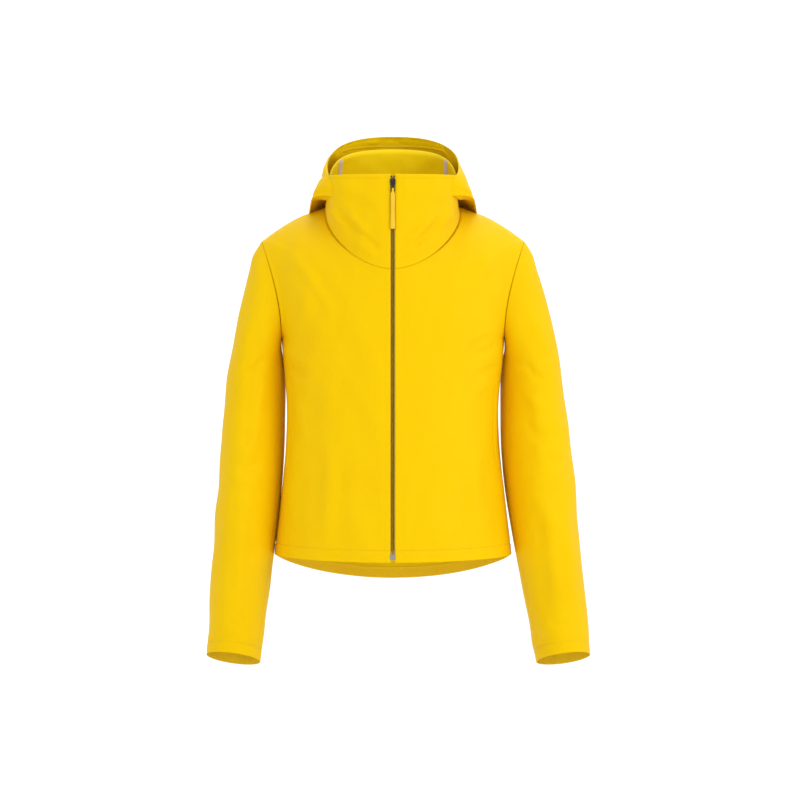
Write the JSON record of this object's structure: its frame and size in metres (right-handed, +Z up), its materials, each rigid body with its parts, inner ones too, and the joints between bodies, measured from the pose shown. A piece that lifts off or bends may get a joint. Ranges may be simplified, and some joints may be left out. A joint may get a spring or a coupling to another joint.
{
  "type": "hooded jacket",
  "caption": "Cropped hooded hardshell jacket with a full-length front zip, a standing funnel collar, long sleeves and a drop-tail hem, its hood lying open behind the neck.",
  "frame": {"origin": "middle of the neck, level with the nape, where a hanger's neck stands", "axes": "+X to the wearer's left, the front faces -Y, +Z up"},
  "size_m": [0.5888, 0.2907, 0.8358],
  "materials": {
    "shell_fabric": "matt woven waterproof face, saturated yellow",
    "inner_facing": "matt, a shade darker than the shell",
    "seam_tape": "smooth bonded tape, pale lilac",
    "zip_tape": "fine woven tape",
    "zip_coil": "satin bronze-brown coil",
    "black_hardware": "satin black enamel",
    "silver_hardware": "dull plated metal",
    "pull_grip": "soft moulded cord grip, yellow",
    "hang_loop": "narrow woven tape",
    "neck_label": "blank woven label"
  },
  "bodies": {
    "root": {"front_left": "shell_fabric", "front_right": "shell_fabric", "back": "shell_fabric", "collar_left": "shell_fabric", "collar_right": "shell_fabric", "collar_lining_left": "inner_facing", "collar_lining_right": "inner_facing", "hood_neck_panel": "shell_fabric", "hood_seam_tapes": "seam_tape", "hem_facing_left": "inner_facing", "hem_facing_right": "inner_facing", "hem_facing_back": "inner_facing", "side_seam_tape_left": "seam_tape", "side_seam_tape_right": "seam_tape", "shoulder_tape_left": "seam_tape", "shoulder_tape_right": "seam_tape", "storm_flap": "inner_facing", "hang_loop": "hang_loop", "neck_label": "neck_label", "zip_tape_left": "zip_tape", "zip_tape_right": "zip_tape", "zip_coil_left": "zip_coil", "zip_coil_right": "zip_coil", "zip_top_stops": "zip_coil", "zip_retainer_box": "silver_hardware", "zip_insertion_pin": "silver_hardware", "pocket_welt_left": "shell_fabric", "pocket_bag_left": "inner_facing", "pocket_welt_right": "shell_fabric", "pocket_bag_right": "inner_facing"},
    "hood": {"hood_cheek_left": "shell_fabric", "hood_cheek_right": "shell_fabric", "hood_crown": "shell_fabric", "hood_brim": "shell_fabric"},
    "sleeve_left": {"sleeve_front_left": "shell_fabric", "sleeve_back_upper_left": "shell_fabric", "sleeve_back_lower_left": "shell_fabric", "sleeve_under_left": "shell_fabric", "cuff_facing_left": "inner_facing"},
    "sleeve_right": {"sleeve_front_right": "shell_fabric", "sleeve_back_upper_right": "shell_fabric", "sleeve_back_lower_right": "shell_fabric", "sleeve_under_right": "shell_fabric", "cuff_facing_right": "inner_facing"},
    "zip_slider": {"front_slider": "black_hardware"},
    "zip_pull": {"front_pull_bail": "black_hardware", "front_pull_grip": "pull_grip"}
  },
  "joints": [
    {"name": "zip_slider_travel", "type": "slide", "parent": "root", "child": "zip_slider", "axis": [0, -0.0377, -0.9993], "range_m": [0, 0.55]},
    {"name": "zip_pull_swing", "type": "hinge", "parent": "zip_slider", "child": "zip_pull", "pos_m": [0, -0.10707, 0.0256], "axis": [-1, 0, 0], "range_deg": [0, 150]},
    {"name": "sleeve_left_raise", "type": "hinge", "parent": "root", "child": "sleeve_left", "pos_m": [0.204, 0.005, -0.056], "axis": [0, -1, 0], "range_deg": [0, 80]},
    {"name": "sleeve_right_raise", "type": "hinge", "parent": "root", "child": "sleeve_right", "pos_m": [-0.204, 0.005, -0.056], "axis": [0, 1, 0], "range_deg": [0, 80]},
    {"name": "hood_raise", "type": "hinge", "parent": "root", "child": "hood", "pos_m": [0, -0.074, 0.006], "axis": [1, 0, 0], "range_deg": [0, 75]}
  ]
}
